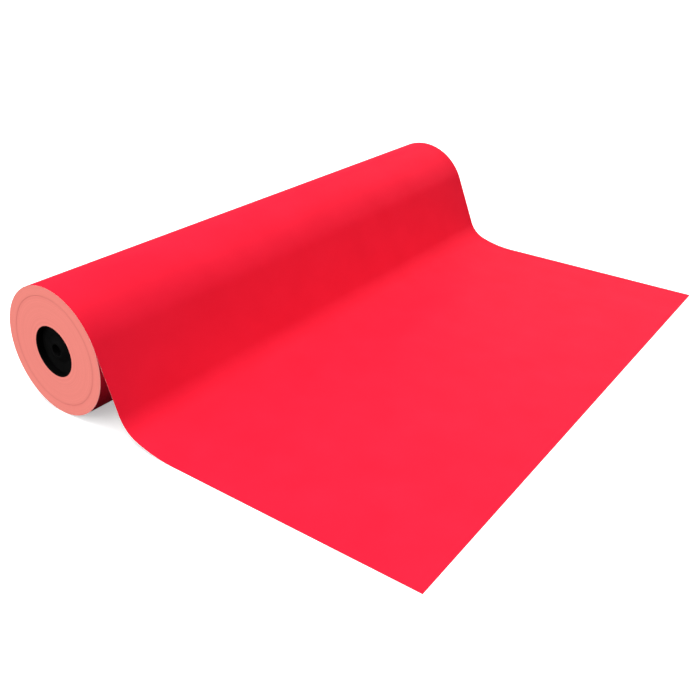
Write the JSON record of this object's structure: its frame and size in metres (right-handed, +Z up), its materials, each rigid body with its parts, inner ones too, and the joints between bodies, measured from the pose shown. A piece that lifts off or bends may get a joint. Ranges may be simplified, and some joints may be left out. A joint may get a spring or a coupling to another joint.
{
  "type": "roll of sign vinyl",
  "caption": "Horizontal roll of self-adhesive sign film on a release liner, wound on a plugged tube, with its free end pulled out flat over the surface.",
  "frame": {"origin": "centre of the whole object's footprint, on the surface it lies on", "axes": "+X along the roll, -Y the way the web is pulled out, +Z up"},
  "size_m": [1, 0.739, 0.2039],
  "materials": {
    "red_film": "satin red calendered film",
    "liner": "coated white paper",
    "wound_web": "wound edges of red film and white liner, salmon",
    "core": "black extruded tube",
    "plug": "black moulded plastic"
  },
  "bodies": {
    "web": {"outermost_turn": "red_film", "hanging_film": "red_film", "hanging_liner": "liner"},
    "free_end": {"flat_film": "red_film", "flat_liner": "liner"},
    "roll": {"wound_turns_outer": "wound_web", "wound_turns_inner": "wound_web", "core_tube": "core"},
    "left_plug": {"left_core_plug": "plug"},
    "right_plug": {"right_core_plug": "plug"}
  },
  "joints": [
    {"name": "roll_spin", "type": "hinge", "parent": "web", "child": "roll", "pos_m": [0, 0.2675, 0.102], "axis": [1, 0, 0], "range_deg": [-112, 360]},
    {"name": "web_pull", "type": "slide", "parent": "web", "child": "free_end", "axis": [0, -1, 0], "range_m": [-0.2, 0.6412], "deforming": ["flat_film", "flat_liner"]},
    {"name": "left_plug_pull", "type": "slide", "parent": "roll", "child": "left_plug", "axis": [-1, 0, 0], "range_m": [0, 0.08]},
    {"name": "right_plug_pull", "type": "slide", "parent": "roll", "child": "right_plug", "axis": [1, 0, 0], "range_m": [0, 0.08]}
  ],
  "couplings": [
    {"joint": "web_pull", "follows": "roll_spin", "m_per_rad": 0.102}
  ]
}
